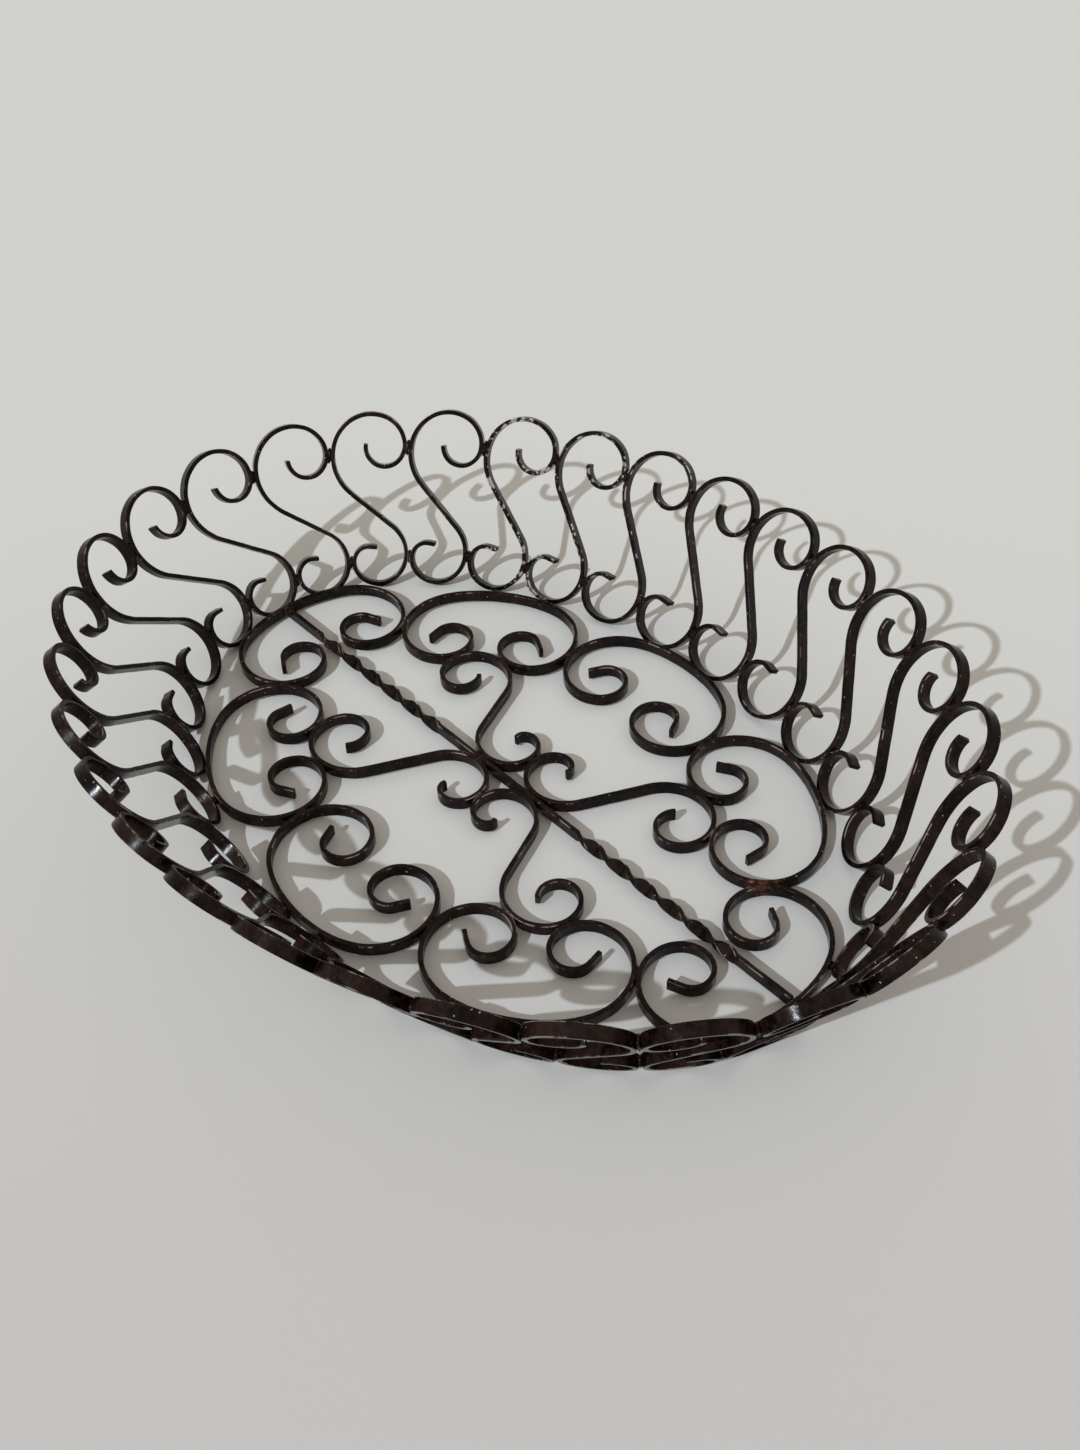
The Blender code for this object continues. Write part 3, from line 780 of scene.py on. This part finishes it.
def painted_iron():
    """Satin paint over iron, from the strip's own coordinates."""
    made, shader, wire = new_material("painted_iron")
    tree = made.node_tree
    place = wire.node("ShaderNodeTexCoord", {}, {}, 3)
    strip = wire.node("ShaderNodeAttribute", dict(attribute_name="strip_place"), {}, 1)
    marks = wire.node("ShaderNodeAttribute", dict(attribute_name="marks"), {}, 1)
    through, over = [wire.node("ShaderNodeSeparateXYZ", {}, {0: strip}, i) for i in range(2)]
    rust, weld, pale_speck_share = [wire.node("ShaderNodeSeparateXYZ", {}, {0: marks}, i) for i in range(3)]
    patches = clouds(wire, place, PATCH_SCALE)
    fine = clouds(wire, place, FINE_SCALE, 4.0)
    grit = clouds(wire, place, GRIT_SCALE, 2.0)
    corner = HALF_THICKNESS - abs(through) + (HALF_WIDTH - abs(over))
    near_corner = 1 - rise(corner - SPECK_EDGE_REACH * pale_speck_share, *CORNER_RANGE)
    # Pale corner specks: a thin pale line at the corners here and there, wider and more speckled on
    # the three scrolls at the back.
    pale_corners = near_corner * rise(patches + 0.35 * fine + pale_speck_share * (0.9 * fine - 0.43), *BARE_RANGE)
    brown = rise(patches + 0.5 * fine, *BROWN_RANGE)
    grains = rise(grit + 0.5 * fine + 0.08 * weld, *GRAIN_RANGE)
    rusty = rise(rust * 0.55 + patches * 0.5 + fine, *RUST_RANGE)
    speck = rise(clouds(wire, place, SPECK_SCALE, 0.0), *SPECK_RANGE)
    colour = blend(PAINT_DARK, PAINT_BROWN, brown)
    colour = blend(colour, GRAINS, grains * 0.6)
    colour = blend(colour, RUST, rusty * 0.75)
    colour = blend(colour, BARE_METAL, pale_corners * 0.8)
    colour = blend(colour, DUST, speck * 0.6)
    roughness = PAINT_ROUGHNESS + 0.14 * (fine - 0.5) + 0.08 * brown
    roughness = roughness + 0.3 * (rusty + speck + pale_corners)
    tree.links.new(colour.socket, shader.inputs["Base Color"])
    tree.links.new(roughness.socket, shader.inputs["Roughness"])
    tree.links.new((pale_corners * 0.2).socket, shader.inputs["Metallic"])
    height = 0.45 * fine + 0.10 * grit + 1.0 * patches + 0.5 * rusty * grit + 0.3 * weld * fine
    bump = wire.node("ShaderNodeBump", {}, {"Strength": BUMP_STRENGTH, "Distance": BUMP_DEPTH,
                                            "Height": height})
    tree.links.new(bump.socket, shader.inputs["Normal"])
    shader.inputs["Specular IOR Level"].default_value = PAINT_SPECULAR
    return made


iron = painted_iron()
print("paint has", len(iron.node_tree.nodes), "nodes")

# %% [markdown]
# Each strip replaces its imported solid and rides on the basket's one body. The welds stand for no
# solid of their own.

# %% Put the basket together


def add_piece(mesh, name):
    """Object with the painted iron that rides on the basket."""
    mesh.materials.append(iron)
    piece = bpy.data.objects.new(name, mesh)
    bpy.context.scene.collection.objects.link(piece)
    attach(piece, "root")
    return piece


for node in strips:
    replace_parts(add_piece(forge(node), node + "_forged"), node)
for group in joints:
    add_piece(weld_lumps(group), group + "_welds")

# %% [markdown]
# The basket stands on a plain pale sheet in low light that comes from the camera's left, with soft
# and warmer light from all round, which alone reaches the shadows. The sheet is painted a little
# darker on the camera's side, as painted shade. The way of the light was fitted to where the
# wall's shadows fall in the picture.

# %% Floor and light
FLOOR_SIZE = 8.0
# Painted shade: the sheet is coloured darker near the camera than far from it.
FLOOR_NEAR_SHADED = (0.548, 0.553, 0.556)
FLOOR_FAR_LIT = (0.642, 0.659, 0.648)
PAINTED_SHADE_RANGE = (-0.45, 0.35)
FLOOR_CLOUD_SCALE = 9.0
FLOOR_ROUGHNESS = 0.9
FLOOR_SPECULAR = 0.1
SUN_WAY = Vector((0.101, -1.162, -1.0))
SUN_STRENGTH = 2.17
SUN_COLOUR = (0.886, 0.942, 1.0)
SUN_ANGLE = 0.016
SKY = (0.600, 0.545, 0.490, 1.0)


def pale_floor():
    """Matt paper, painted lighter away from the camera and darker towards it as painted shade."""
    made, shader, wire = new_material("pale_sheet")
    place = wire.node("ShaderNodeNewGeometry", {}, {}, 0)
    x, y = [wire.node("ShaderNodeSeparateXYZ", {}, {0: place}, i) for i in range(2)]
    # Painted shade: the sheet's colour darkens towards the camera's side.
    painted_shade = rise(x - y + 0.05 * clouds(wire, place, FLOOR_CLOUD_SCALE), *PAINTED_SHADE_RANGE)
    made.node_tree.links.new(blend(FLOOR_NEAR_SHADED, FLOOR_FAR_LIT, painted_shade).socket,
                             shader.inputs["Base Color"])
    shader.inputs["Roughness"].default_value = FLOOR_ROUGHNESS
    shader.inputs["Specular IOR Level"].default_value = FLOOR_SPECULAR
    return made


sheet = bpy.data.meshes.new("sheet")
half = FLOOR_SIZE / 2
sheet.from_pydata([(-half, -half, 0), (half, -half, 0), (half, half, 0), (-half, half, 0)], [],
                  [(0, 1, 2, 3)])
sheet.materials.append(pale_floor())
floor = bpy.data.objects.new("sheet", sheet)
bpy.context.scene.collection.objects.link(floor)

sun = bpy.data.lights.new("sun", "SUN")
sun.energy = SUN_STRENGTH
sun.angle = SUN_ANGLE
sun.color = SUN_COLOUR
sun_lamp = bpy.data.objects.new("sun", sun)
sun_lamp.rotation_euler = (-SUN_WAY).to_track_quat("Z", "Y").to_euler()
bpy.context.scene.collection.objects.link(sun_lamp)

world = bpy.data.worlds.new("world")
world.use_nodes = True
world.node_tree.nodes["Background"].inputs["Color"].default_value = SKY
bpy.context.scene.world = world
bpy.context.scene.view_settings.view_transform = "Standard"
print("lit")
